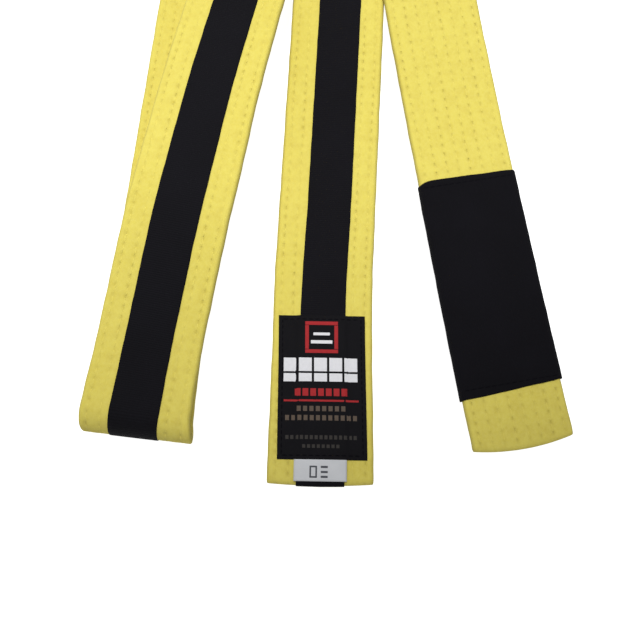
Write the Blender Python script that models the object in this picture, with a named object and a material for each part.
"""A two-colour martial arts belt, 2.8 m long, laid on a table in four folded legs.

From the label end the belt runs away from the viewer, turns over at the far fold, comes back
underneath the near fold, runs away again, turns over at the cross fold and comes back to the end
that carries the rank bar. Every layer is swept through the same stations along that path.

Frame: metres, +Z up, table plane at Z = 0, +Y away from the viewer, origin on the table under the
centreline of the label leg. Across the belt, v grows towards +X; through it, w grows towards the
striped front face.
"""

from math import cos, pi, radians, sin, tan

import bmesh
import bpy
from mathutils import Matrix, Vector

MM = 0.001

# Driving dimensions
BELT_WIDTH = 40 * MM
BELT_THICKNESS = 4.2 * MM
COVER_FABRIC = 0.5 * MM
LAYER_GAP = 0.3 * MM
EDGE_RADIUS = 1.7 * MM
SEAM_OPENING = 0.3 * MM

STRIPE_WIDTH = 18 * MM
STRIPE_FABRIC = 0.5 * MM

THREAD_WIDTH = 0.4 * MM
THREAD_HEIGHT = 0.3 * MM
STITCH_ROWS_V = (12.0 * MM, 16.8 * MM)
THREAD_INSET = 1.5 * MM

LABEL_WIDTH = 34.2 * MM
LABEL_LENGTH = 57.7 * MM
LABEL_FROM_END = 9.2 * MM
LABEL_FABRIC = 0.4 * MM
LABEL_STITCH_INSET = 1.6 * MM

TAG_WIDTH = 19.5 * MM
TAG_FROM_END = 0.9 * MM
TAG_FABRIC = 0.5 * MM

BAR_LENGTH = 90.5 * MM
BAR_FROM_END = 21.8 * MM
BAR_FABRIC = 0.5 * MM
BAR_STITCH_INSET = 2.5 * MM

# Where the tails bend, measured from their own ends
LABEL_BENDS = (88 * MM, 148 * MM)
BAR_BENDS = (125 * MM, 185 * MM)
CUT_GAP = 0.4 * MM

# Surfaces through the thickness, derived
COVER_FRONT = BELT_THICKNESS / 2
COVER_BACK = -COVER_FRONT
HALF_WIDTH = BELT_WIDTH / 2
CORE_HALF_WIDTH = HALF_WIDTH - COVER_FABRIC - 3 * LAYER_GAP  # clears the rounded edge
CORE_HALF_DEPTH = COVER_FRONT - COVER_FABRIC - LAYER_GAP
STRIPE_LOW = COVER_FRONT + LAYER_GAP
STRIPE_TOP = STRIPE_LOW + STRIPE_FABRIC
THREAD_LOW = COVER_FRONT + LAYER_GAP
PATCH_LOW = STRIPE_TOP + LAYER_GAP

# Folds: radius of the mid-surface, and the height at which the belt enters
FAR_RADIUS = 7.9 * MM
NEAR_RADIUS = 7.1 * MM
CROSS_RADIUS = 5.2 * MM
ON_TABLE_FRONT_UP = -COVER_BACK
ON_TABLE_FRONT_DOWN = STRIPE_TOP
CROSSING_CLEARANCE = 0.4 * MM
OVER_ONE_LEG_FRONT_UP = ON_TABLE_FRONT_UP + STRIPE_TOP + CROSSING_CLEARANCE - COVER_BACK
OVER_ONE_LEG_FRONT_DOWN = ON_TABLE_FRONT_UP + 2 * STRIPE_TOP + CROSSING_CLEARANCE
LABEL_END_LIFT = 4 * MM
OVER_LEG_SPRING = 10 * MM  # how far the leg bulges up beyond the near fold
BAR_TAIL_HEIGHT = STRIPE_TOP + 2 * LAYER_GAP + BAR_FABRIC + THREAD_HEIGHT + 0.1 * MM

LEAD = 12 * MM  # flat stretch on each side of a fold
STEPS_IN_A_CURVE = 5
STEPS_IN_A_FOLD = 16  # over the whole half turn


class Fold:
    """A half turn round a cylinder that lies on the table, its axis skewed to the belt.

    side is +1 where the belt turns over at its far end and -1 at its near end. Headings are those of
    the two legs, in degrees from +Y towards +X. (x, y, height) is where the centreline enters.
    """

    def __init__(self, x, y, height, radius, side, heading_in, heading_out):
        middle = radians((heading_in + heading_out) / 2)
        self.skew = side * radians(heading_in - heading_out) / 2
        self.side = side
        self.radius = radius
        self.entry = Vector((x, y, height))
        self.outward = side * Vector((sin(middle), cos(middle), 0))
        self.along = Vector((cos(middle), -sin(middle), 0))
        self.heading_in = heading_in
        self.heading_out = heading_out
        self.axis_point = self.entry + Vector((0, 0, radius))

    def exit(self):
        shift = pi * self.radius * tan(self.skew)
        return self.entry + shift * self.along + Vector((0, 0, 2 * self.radius))

    def radial(self, angle):
        return sin(angle) * self.outward - cos(angle) * Vector((0, 0, 1))

    def station(self, angle):
        arc = self.radius * angle * tan(self.skew)
        origin = self.axis_point + arc * self.along + self.radius * self.radial(angle)
        across = self.along / cos(self.skew)
        return origin, across, -self.side * self.radial(angle)

    def hinge_point(self, angle):
        """On the outer surface of the bend, so that opening the fold spreads the cut faces."""
        outer = -COVER_BACK if self.side > 0 else STRIPE_TOP
        arc = self.radius * angle * tan(self.skew)
        return self.axis_point + arc * self.along + (self.radius + outer + 0.1 * MM) * self.radial(angle)


class Leg:
    """A stretch along Y. plan holds (y, x, heading) and heights (y, z), both by rising y."""

    def __init__(self, plan, heights, front_up):
        self.plan = plan
        self.heights = heights
        self.face = 1 if front_up else -1

    def x_at(self, y):
        (y0, x0, h0), (y1, x1, h1) = span_of(self.plan, y)
        length = y1 - y0
        t = (y - y0) / length
        return (
            (2 * t**3 - 3 * t**2 + 1) * x0
            + (t**3 - 2 * t**2 + t) * length * tan(radians(h0))
            + (3 * t**2 - 2 * t**3) * x1
            + (t**3 - t**2) * length * tan(radians(h1))
        )

    def z_at(self, y):
        (y0, z0), (y1, z1) = span_of(self.heights, y)
        t = min(max((y - y0) / (y1 - y0), 0), 1)
        return z0 + (z1 - z0) * t * t * (3 - 2 * t)

    def point(self, y):
        return Vector((self.x_at(y), y, self.z_at(y)))

    def station(self, y):
        step = 0.05 * MM
        low, high = self.plan[0][0], self.plan[-1][0]
        forward = (self.point(min(y + step, high)) - self.point(max(y - step, low))).normalized()
        across = Vector((forward.y, -forward.x, 0)).normalized()
        return self.point(y), across, self.face * across.cross(forward)

    def stops(self):
        """The y values that the leg's shape needs, by rising y."""
        edges = sorted({round(k[0], 6) for k in self.plan + self.heights})
        found = [edges[0]]
        for a, b in zip(edges, edges[1:]):
            middle = self.point((a + b) / 2) - (self.point(a) + self.point(b)) / 2
            quarter = self.point((3 * a + b) / 4) - (3 * self.point(a) + self.point(b)) / 4
            curved = max(middle.length, quarter.length) > 0.02 * MM
            count = STEPS_IN_A_CURVE if curved else 1
            found += [a + (b - a) * (i + 1) / count for i in range(count)]
        return found

    def length_between(self, a, b):
        ys = sorted({a, b, *[y for y in self.stops() if min(a, b) < y < max(a, b)]})
        return sum((self.point(q) - self.point(p)).length for p, q in zip(ys, ys[1:]))

    def y_at_distance(self, distance):
        """The y that lies this far along the leg from its near end."""
        low, high = self.plan[0][0], self.plan[-1][0]
        for _ in range(40):
            middle = (low + high) / 2
            if self.length_between(self.plan[0][0], middle) < distance:
                low = middle
            else:
                high = middle
        return (low + high) / 2


def span_of(knots, y):
    for a, b in zip(knots, knots[1:]):
        if y <= b[0]:
            return a, b
    return knots[-2], knots[-1]


def knot_from(point, heading, distance):
    """A plan knot this far along a heading from a point."""
    return (
        point.y + distance * cos(radians(heading)),
        point.x + distance * sin(radians(heading)),
        heading,
    )


# Layout on the table. Headings are in degrees from +Y towards +X.
LABEL_TIP_HEADING = 0.93
LABEL_LEG_HEADING = 3.1
UNDER_LEG_HEADING = 6.35
BAR_LEG_HEADING = -9.0
OVER_LEG_HEADING = 11.8

far_fold = Fold(35.8 * MM, 660 * MM, ON_TABLE_FRONT_UP, FAR_RADIUS, 1, LABEL_LEG_HEADING, 10.9)
near_fold = Fold(-82.6 * MM, -257.1 * MM, ON_TABLE_FRONT_DOWN, NEAR_RADIUS, -1, UNDER_LEG_HEADING, 9.3)
cross_fold = Fold(
    -1.2 * MM, 137.8 * MM, OVER_ONE_LEG_FRONT_UP, CROSS_RADIUS, 1, OVER_LEG_HEADING, BAR_LEG_HEADING
)

LABEL_END = Vector((-12.2 * MM, -283.6 * MM, 0))


def lay_label_leg():
    kink = knot_from(LABEL_END, LABEL_TIP_HEADING, 70 * MM)
    fold = far_fold.entry
    return Leg(
        plan=[
            knot_from(LABEL_END, LABEL_TIP_HEADING, 0),
            kink,
            (-175 * MM, fold.x - (fold.y + 175 * MM) * tan(radians(LABEL_LEG_HEADING)), LABEL_LEG_HEADING),
            knot_from(fold, LABEL_LEG_HEADING, -LEAD),
            knot_from(fold, LABEL_LEG_HEADING, 0),
        ],
        heights=[
            (LABEL_END.y, ON_TABLE_FRONT_UP + LABEL_END_LIFT),
            (LABEL_END.y + 75 * MM, ON_TABLE_FRONT_UP),
            (fold.y, ON_TABLE_FRONT_UP),
        ],
        front_up=True,
    )


def lay_under_leg():
    """On the table beside the near fold, then over the label leg and up to the far fold."""
    near, far = near_fold.entry, far_fold.exit()
    return Leg(
        plan=[
            knot_from(near, UNDER_LEG_HEADING, 0),
            knot_from(near, UNDER_LEG_HEADING, LEAD),
            knot_from(near, UNDER_LEG_HEADING, 510 * MM),
            knot_from(far, far_fold.heading_out, -LEAD),
            knot_from(far, far_fold.heading_out, 0),
        ],
        heights=[
            (near.y, near.z),
            (165 * MM, near.z),
            (248 * MM, OVER_ONE_LEG_FRONT_DOWN),
            (480 * MM, OVER_ONE_LEG_FRONT_DOWN),
            (far.y - LEAD, far.z),
            (far.y, far.z),
        ],
        front_up=False,
    )


def lay_over_leg():
    """High out of the near fold, sloping down onto the label leg at the cross fold."""
    near, far = near_fold.exit(), cross_fold.entry
    return Leg(
        plan=[
            knot_from(near, near_fold.heading_out, 0),
            knot_from(near, near_fold.heading_out, LEAD),
            (-200 * MM, -71.1 * MM, 11.4),
            (-160 * MM, -62.7 * MM, 11.6),
            knot_from(far, OVER_LEG_HEADING, -260 * MM),
            knot_from(far, OVER_LEG_HEADING, -LEAD),
            knot_from(far, OVER_LEG_HEADING, 0),
        ],
        heights=[
            (near.y, near.z),
            (near.y + 6 * MM, near.z),
            (-170 * MM, near.z + OVER_LEG_SPRING),
            (15 * MM, far.z),
            (far.y, far.z),
        ],
        front_up=True,
    )


def lay_bar_leg():
    """Down from the cross fold to the end that carries the rank bar."""
    far = cross_fold.exit()
    end_y = -268.5 * MM
    return Leg(
        plan=[
            (end_y, 66.9 * MM, -9.8),
            (-210 * MM, 56.9 * MM, -9.3),
            knot_from(far, BAR_LEG_HEADING, -LEAD),
            knot_from(far, BAR_LEG_HEADING, 0),
        ],
        heights=[
            (end_y, BAR_TAIL_HEIGHT),
            (-150 * MM, BAR_TAIL_HEIGHT),
            (far.y - LEAD, far.z),
            (far.y, far.z),
        ],
        front_up=False,
    )


label_leg = lay_label_leg()
under_leg = lay_under_leg()
over_leg = lay_over_leg()
bar_leg = lay_bar_leg()

# The belt from its label end to its bar end. True marks a leg travelled by rising y.
PATH = [
    (label_leg, True),
    (far_fold, None),
    (under_leg, False),
    (near_fold, None),
    (over_leg, True),
    (cross_fold, None),
    (bar_leg, False),
]

QUARTER, HALF_WAY_OUT = radians(45), radians(135)


def stops_of(index):
    element, rising = PATH[index]
    if rising is None:
        return [pi * i / STEPS_IN_A_FOLD for i in range(STEPS_IN_A_FOLD + 1)]
    return element.stops() if rising else element.stops()[::-1]


def stations_between(start, end):
    """The stations from one place on the path to another. A place is (index in PATH, y or angle)."""
    found = []
    for index in range(start[0], end[0] + 1):
        element, rising = PATH[index]
        sign = -1 if rising is False else 1
        low = start[1] if index == start[0] else None
        high = end[1] if index == end[0] else None
        values = [
            s
            for s in stops_of(index)
            if (low is None or sign * s > sign * low + 1e-6)
            and (high is None or sign * s < sign * high - 1e-6)
        ]
        if low is not None:
            values.insert(0, low)
        if high is not None:
            values.append(high)
        joins_fold = rising is not None and index > start[0]
        if joins_fold and values and abs(values[0] - stops_of(index)[0]) < 1e-9:
            values = values[1:]
        runs_into_fold = rising is not None and index < end[0]
        if runs_into_fold and values:
            values = values[:-1]
        found += [element.station(v) for v in values]
    return found


def on_label_leg(distance):
    return (0, label_leg.y_at_distance(distance))


def on_bar_leg(distance):
    return (6, bar_leg.y_at_distance(distance))


def in_fold(index, angle, shift):
    """A place in a fold, moved along the belt by shift."""
    return (index, angle + shift / PATH[index][0].radius)


# Each body's two ends. Neighbours stop short of the shared cut by CUT_GAP.
g = CUT_GAP
BODIES = {
    "label_tip": (on_label_leg(0), on_label_leg(LABEL_BENDS[0] - g)),
    "label_mid": (on_label_leg(LABEL_BENDS[0] + g), on_label_leg(LABEL_BENDS[1] - g)),
    "label_leg": (on_label_leg(LABEL_BENDS[1] + g), in_fold(1, QUARTER, -g)),
    "far_fold": (in_fold(1, QUARTER, g), in_fold(1, HALF_WAY_OUT, -g)),
    "under_leg": (in_fold(1, HALF_WAY_OUT, g), in_fold(3, QUARTER, -g)),
    "near_fold": (in_fold(3, QUARTER, g), in_fold(3, HALF_WAY_OUT, -g)),
    "over_leg": (in_fold(3, HALF_WAY_OUT, g), in_fold(5, QUARTER, -g)),
    "cross_fold": (in_fold(5, QUARTER, g), in_fold(5, HALF_WAY_OUT, -g)),
    "bar_leg": (in_fold(5, HALF_WAY_OUT, g), on_bar_leg(BAR_BENDS[1] + g)),
    "bar_mid": (on_bar_leg(BAR_BENDS[1] - g), on_bar_leg(BAR_BENDS[0] + g)),
    "bar_tip": (on_bar_leg(BAR_BENDS[0] - g), on_bar_leg(0)),
}
THREADED_BODIES = [name for name in BODIES if not name.endswith("_fold")]


def place(station, v, w):
    origin, across, normal = station
    return origin + v * across + w * normal


def shift_station(station, distance, towards):
    """A station moved along the belt's own surface, towards another station."""
    direction = (towards[0] - station[0]).normalized()
    return (station[0] + distance * direction, station[1], station[2])


def clear_scene():
    for obj in list(bpy.data.objects):
        bpy.data.objects.remove(obj)


def make_material(name, colour, roughness):
    material = bpy.data.materials.new(name)
    material.use_nodes = True
    shader = material.node_tree.nodes["Principled BSDF"]
    shader.inputs["Base Color"].default_value = (*colour, 1)
    shader.inputs["Roughness"].default_value = roughness
    shader.inputs["Metallic"].default_value = 0
    return material


def add_object(name, vertices, faces, material, pivot):
    mesh = bpy.data.meshes.new(name)
    mesh.from_pydata([tuple(v) for v in vertices], [], faces)
    work = bmesh.new()
    work.from_mesh(mesh)
    bmesh.ops.recalc_face_normals(work, faces=work.faces)
    if work.calc_volume(signed=True) < 0:
        bmesh.ops.reverse_faces(work, faces=work.faces)
    work.to_mesh(mesh)
    work.free()
    mesh.materials.append(material)
    obj = bpy.data.objects.new(name, mesh)
    bpy.context.scene.collection.objects.link(obj)
    obj.parent = pivot
    obj.matrix_parent_inverse = pivot.matrix_world.inverted()
    return obj


def corner(v, w, radius, from_degrees, steps=2):
    """Points of a rounded corner whose centre is (v, w)."""
    angles = [radians(from_degrees + 90 * i / steps) for i in range(steps + 1)]
    return [(v + radius * cos(a), w + radius * sin(a)) for a in angles]


def rounded_outline(half_width, low, high, radius):
    """A rounded rectangle, anticlockwise, starting and ending on its right edge."""
    points = corner(half_width - radius, high - radius, radius, 0)
    points += corner(-half_width + radius, high - radius, radius, 90)
    points += corner(-half_width + radius, low + radius, radius, 180)
    points += corner(half_width - radius, low + radius, radius, 270)
    return points


def cover_paths():
    """The folded fabric strip's outside and inside, from the seam on the right edge round to it."""
    slit = SEAM_OPENING / 2
    inner_radius = EDGE_RADIUS - COVER_FABRIC
    outer = rounded_outline(HALF_WIDTH, COVER_BACK, COVER_FRONT, EDGE_RADIUS)
    inner = rounded_outline(
        HALF_WIDTH - COVER_FABRIC, COVER_BACK + COVER_FABRIC, COVER_FRONT - COVER_FABRIC, inner_radius
    )
    outer = [(HALF_WIDTH, slit)] + outer + [(HALF_WIDTH, -slit)]
    inner = [(HALF_WIDTH - COVER_FABRIC, slit)] + inner + [(HALF_WIDTH - COVER_FABRIC, -slit)]
    return outer, inner


def make_cover(name, stations, material, pivot, closed_start=False):
    """The yellow fabric as a folded sheet with an open seam. closed_start turns its end in."""
    outer, inner = cover_paths()
    n, m = len(outer), len(stations)
    first_inner = 1 if closed_start else 0
    vertices = [place(s, v, w) for s in stations for v, w in outer]
    vertices += [place(s, v, w) for s in stations[first_inner:] for v, w in inner]

    def out(i, k):
        return i * n + k

    def inn(i, k):
        return m * n + (i - first_inner) * n + k

    faces = []
    for i in range(m - 1):
        faces += [(out(i, k), out(i, k + 1), out(i + 1, k + 1), out(i + 1, k)) for k in range(n - 1)]
        if i < first_inner:
            faces.append((out(i, n - 1), out(i, 0), out(i + 1, 0), out(i + 1, n - 1)))
            continue
        faces += [(inn(i, k), inn(i, k + 1), inn(i + 1, k + 1), inn(i + 1, k)) for k in range(n - 1)]
        for k in (0, n - 1):
            faces.append((out(i, k), inn(i, k), inn(i + 1, k), out(i + 1, k)))
    if closed_start:
        faces.append([out(0, k) for k in range(n)])
        faces.append([out(1, 0)] + [inn(1, k) for k in range(n)] + [out(1, n - 1)])
    else:
        faces += [(out(0, k), out(0, k + 1), inn(0, k + 1), inn(0, k)) for k in range(n - 1)]
    last = m - 1
    faces += [(out(last, k), out(last, k + 1), inn(last, k + 1), inn(last, k)) for k in range(n - 1)]
    return add_object(name, vertices, faces, material, pivot)


def sweep(name, stations, profile, material, pivot):
    """A solid with one outline, carried through the stations."""
    n, m = len(profile), len(stations)
    vertices = [place(s, v, w) for s in stations for v, w in profile]
    faces = [
        (i * n + k, i * n + (k + 1) % n, (i + 1) * n + (k + 1) % n, (i + 1) * n + k)
        for i in range(m - 1)
        for k in range(n)
    ]
    faces.append(list(range(n)))
    faces.append(list(range((m - 1) * n, m * n)))
    return add_object(name, vertices, faces, material, pivot)


def sleeve(name, stations, outer, inner, material, pivot):
    """A closed band round the belt: two matching outlines, one inside the other."""
    n, m = len(outer), len(stations)
    vertices = [place(s, v, w) for s in stations for v, w in outer + inner]

    def at(i, k, ring):
        return i * 2 * n + ring * n + k % n

    faces = []
    for k in range(n):
        for ring in (0, 1):
            faces += [
                (at(i, k, ring), at(i, k + 1, ring), at(i + 1, k + 1, ring), at(i + 1, k, ring))
                for i in range(m - 1)
            ]
        for i in (0, m - 1):
            faces.append((at(i, k, 0), at(i, k + 1, 0), at(i, k + 1, 1), at(i, k, 1)))
    return add_object(name, vertices, faces, material, pivot)


def core_profile():
    """One strip of canvas folded into three plies, open on alternate edges."""
    a, h = CORE_HALF_WIDTH, CORE_HALF_DEPTH
    ply = (2 * h - 2 * LAYER_GAP) / 3
    m = ply / 2
    return [
        (-a, -h),
        (a, -h),
        (a, m),
        (-a + ply, m),
        (-a + ply, h - ply),
        (a, h - ply),
        (a, h),
        (-a, h),
        (-a, -m),
        (a - ply, -m),
        (a - ply, -h + ply),
        (-a, -h + ply),
    ]


def plate(name, stations, v_lines, low, high, filled, material, pivot):
    """A flat layer made of cells between stations and v lines. filled(i, j) says which exist."""
    rows, columns = len(stations) - 1, len(v_lines) - 1
    width = columns + 1
    vertices = [place(s, v, w) for w in (low, high) for s in stations for v in v_lines]

    def at(i, j, level):
        return level * (rows + 1) * width + i * width + j

    def has(i, j):
        return 0 <= i < rows and 0 <= j < columns and filled(i, j)

    faces = []
    for i in range(rows):
        for j in range(columns):
            if not has(i, j):
                continue
            for level in (0, 1):
                faces.append(
                    (at(i, j, level), at(i, j + 1, level), at(i + 1, j + 1, level), at(i + 1, j, level))
                )
            walls = {
                (i - 1, j): ((i, j), (i, j + 1)),
                (i + 1, j): ((i + 1, j), (i + 1, j + 1)),
                (i, j - 1): ((i, j), (i + 1, j)),
                (i, j + 1): ((i, j + 1), (i + 1, j + 1)),
            }
            for beyond, (p, q) in walls.items():
                if not has(*beyond):
                    faces.append((at(*p, 0), at(*q, 0), at(*q, 1), at(*p, 1)))
    used = sorted({index for face in faces for index in face})
    renumbered = {old: new for new, old in enumerate(used)}
    vertices = [vertices[i] for i in used]
    faces = [tuple(renumbered[i] for i in face) for face in faces]
    return add_object(name, vertices, faces, material, pivot)


def drawn_in(stations, distance):
    """The stretch without its first bit, measured along the centreline."""
    left = distance
    for i, (a, b) in enumerate(zip(stations, stations[1:])):
        gap = (b[0] - a[0]).length
        if left < gap - 0.1 * MM:
            first = tuple(p.lerp(q, left / gap) for p, q in zip(a, b))
            return [first] + stations[i + 1 :]
        left = max(left - gap, 0)
    return stations[-1:]


def trimmed(stations, start, end):
    """The same stretch, with its two ends drawn in by these distances."""
    shortened = drawn_in(stations, start)
    return drawn_in(shortened[::-1], end)[::-1]


def thread_loop(name, stations, rows, material, pivot):
    """Two parallel rows of sewing thread on the front face, joined at both ends into one solid."""
    inner_row, outer_row = rows
    half = THREAD_WIDTH / 2
    v_lines = [inner_row - half, inner_row + half, outer_row - half, outer_row + half]
    ends = trimmed(stations, THREAD_INSET, THREAD_INSET)
    turned = trimmed(stations, THREAD_INSET + THREAD_WIDTH, THREAD_INSET + THREAD_WIDTH)
    lines = [ends[0], turned[0]] + turned[1:-1] + [turned[-1], ends[-1]]
    last = len(lines) - 2
    high = THREAD_LOW + THREAD_HEIGHT
    return plate(
        name, lines, v_lines, THREAD_LOW, high, lambda i, j: j != 1 or i in (0, last), material, pivot
    )


def frame_lines(half, band):
    return [-half, -half + band, half - band, half]


def near_end_stations(distances):
    """Stations on the label tip at these distances from the label end."""
    return [label_leg.station(label_leg.y_at_distance(d)) for d in distances]


def bar_end_stations(distances):
    return [bar_leg.station(bar_leg.y_at_distance(d)) for d in distances]


def make_label(material, thread, pivot):
    far = LABEL_FROM_END + LABEL_LENGTH
    half = LABEL_WIDTH / 2
    plate(
        "maker_label",
        near_end_stations([LABEL_FROM_END, far]),
        [-half, half],
        PATCH_LOW,
        PATCH_LOW + LABEL_FABRIC,
        lambda i, j: True,
        material,
        pivot,
    )
    inset, low = LABEL_STITCH_INSET, PATCH_LOW + LABEL_FABRIC + LAYER_GAP
    rows = [LABEL_FROM_END + inset, LABEL_FROM_END + inset + THREAD_WIDTH]
    rows += [far - inset - THREAD_WIDTH, far - inset]
    plate(
        "maker_label_stitching",
        near_end_stations(rows),
        frame_lines(half - inset, THREAD_WIDTH),
        low,
        low + THREAD_HEIGHT,
        lambda i, j: (i, j) != (1, 1),
        thread,
        pivot,
    )


def make_size_tag(material, pivot):
    plate(
        "size_tag",
        near_end_stations([TAG_FROM_END, LABEL_FROM_END - LAYER_GAP]),
        [-TAG_WIDTH / 2, TAG_WIDTH / 2],
        PATCH_LOW,
        PATCH_LOW + TAG_FABRIC,
        lambda i, j: True,
        material,
        pivot,
    )


def make_rank_bar(material, thread, pivot):
    """The black sleeve round the belt and the seam that holds each of its edges."""
    far = BAR_FROM_END + BAR_LENGTH
    inside = LAYER_GAP
    outside = LAYER_GAP + BAR_FABRIC

    def band(grow):
        half = HALF_WIDTH + grow
        return rounded_outline(half, COVER_BACK - grow, STRIPE_TOP + grow, EDGE_RADIUS + grow)

    sleeve("rank_bar", bar_end_stations([BAR_FROM_END, far]), band(outside), band(inside), material, pivot)
    low = outside + LAYER_GAP
    for name, start in (
        ("rank_bar_stitching_tip", BAR_FROM_END + BAR_STITCH_INSET),
        ("rank_bar_stitching_far", far - BAR_STITCH_INSET - THREAD_WIDTH),
    ):
        rows = bar_end_stations([start, start + THREAD_WIDTH])
        sleeve(name, rows, band(low + THREAD_HEIGHT), band(low), thread, pivot)


def hinge_frames():
    """Body name to (point on its joint's axis, axis direction). Positive angles turn about the axis."""

    def across_tail(leg, distance, w):
        origin, across, normal = leg.station(leg.y_at_distance(distance))
        return origin + w * normal, across

    tag_point, tag_across = across_tail(
        label_leg, LABEL_FROM_END - LAYER_GAP / 2, PATCH_LOW + TAG_FABRIC + 0.1 * MM
    )
    over_stripe = STRIPE_TOP + 0.1 * MM
    over_back = COVER_BACK - 0.1 * MM
    mid_point, mid_across = across_tail(label_leg, LABEL_BENDS[1], over_stripe)
    tip_point, tip_across = across_tail(label_leg, LABEL_BENDS[0], over_stripe)
    bar_mid_point, bar_mid_across = across_tail(bar_leg, BAR_BENDS[1], over_back)
    bar_tip_point, bar_tip_across = across_tail(bar_leg, BAR_BENDS[0], over_back)
    return {
        "label_leg": (Vector((0, 0, 0)), Vector((1, 0, 0))),
        "label_mid": (mid_point, -mid_across),
        "label_tip": (tip_point, -tip_across),
        "size_tag": (tag_point, -tag_across),
        "far_fold": (far_fold.hinge_point(QUARTER), -far_fold.along),
        "under_leg": (far_fold.hinge_point(HALF_WAY_OUT), -far_fold.along),
        "near_fold": (near_fold.hinge_point(QUARTER), near_fold.along),
        "over_leg": (near_fold.hinge_point(HALF_WAY_OUT), near_fold.along),
        "cross_fold": (cross_fold.hinge_point(QUARTER), -cross_fold.along),
        "bar_leg": (cross_fold.hinge_point(HALF_WAY_OUT), -cross_fold.along),
        "bar_mid": (bar_mid_point, -bar_mid_across),
        "bar_tip": (bar_tip_point, -bar_tip_across),
    }


def make_pivots():
    """An empty for each body, on its joint, with its own X along the axis."""
    pivots = {}
    for body, (point, axis) in hinge_frames().items():
        empty = bpy.data.objects.new("pivot_" + body, None)
        empty.empty_display_size = 0.02
        turn = Vector((1, 0, 0)).rotation_difference(axis).to_matrix().to_4x4()
        empty.matrix_world = Matrix.Translation(point) @ turn
        bpy.context.scene.collection.objects.link(empty)
        pivots[body] = empty
    bpy.context.view_layer.update()
    return pivots


def make_belt(pivots, cloth):
    for body, (start, end) in BODIES.items():
        pivot = pivots[body]
        stations = stations_between(start, end)
        inner = stations
        if body == "label_tip":
            closing = shift_station(stations[0], COVER_FABRIC, stations[1])
            make_cover("cover_" + body, [stations[0], closing] + stations[1:], cloth["yellow"], pivot, True)
            inner = trimmed(stations, COVER_FABRIC + LAYER_GAP, 0)
        elif body == "bar_tip":
            closing = shift_station(stations[-1], COVER_FABRIC, stations[-2])
            backwards = [stations[-1], closing] + stations[-2::-1]
            make_cover("cover_" + body, backwards, cloth["yellow"], pivot, True)
            inner = trimmed(stations, 0, COVER_FABRIC + LAYER_GAP)
        else:
            make_cover("cover_" + body, stations, cloth["yellow"], pivot)
        sweep("core_" + body, inner, core_profile(), cloth["canvas"], pivot)
        plate(
            "stripe_" + body,
            stations,
            [-STRIPE_WIDTH / 2, STRIPE_WIDTH / 2],
            STRIPE_LOW,
            STRIPE_TOP,
            lambda i, j: True,
            cloth["black"],
            pivot,
        )
        if body in THREADED_BODIES:
            near_row, edge_row = STITCH_ROWS_V
            thread_loop("thread_right_" + body, stations, (near_row, edge_row), cloth["thread"], pivot)
            thread_loop("thread_left_" + body, stations, (-edge_row, -near_row), cloth["thread"], pivot)


def belt_length():
    legs = [element for element, rising in PATH if rising is not None]
    folds = [element for element, rising in PATH if rising is None]
    straight = sum(leg.length_between(leg.plan[0][0], leg.plan[-1][0]) for leg in legs)
    return straight + sum(pi * fold.radius / cos(fold.skew) for fold in folds)


def main():
    clear_scene()
    cloth = {
        "yellow": make_material("yellow_cotton", (0.83, 0.66, 0.10), 0.85),
        "canvas": make_material("natural_canvas", (0.80, 0.76, 0.66), 0.95),
        "black": make_material("black_ribbon", (0.012, 0.012, 0.016), 0.7),
        "thread": make_material("yellow_thread", (0.80, 0.62, 0.10), 0.7),
        "black_thread": make_material("black_thread", (0.02, 0.02, 0.02), 0.6),
        "bar": make_material("black_cotton", (0.012, 0.012, 0.014), 0.85),
        "label": make_material("woven_label", (0.015, 0.015, 0.018), 0.6),
        "tag": make_material("white_tape", (0.62, 0.62, 0.66), 0.6),
    }
    pivots = make_pivots()
    make_belt(pivots, cloth)
    make_label(cloth["label"], cloth["black_thread"], pivots["label_tip"])
    make_size_tag(cloth["tag"], pivots["size_tag"])
    make_rank_bar(cloth["bar"], cloth["black_thread"], pivots["bar_tip"])
    print("belt length", round(belt_length() * 1000, 1), "mm")


main()
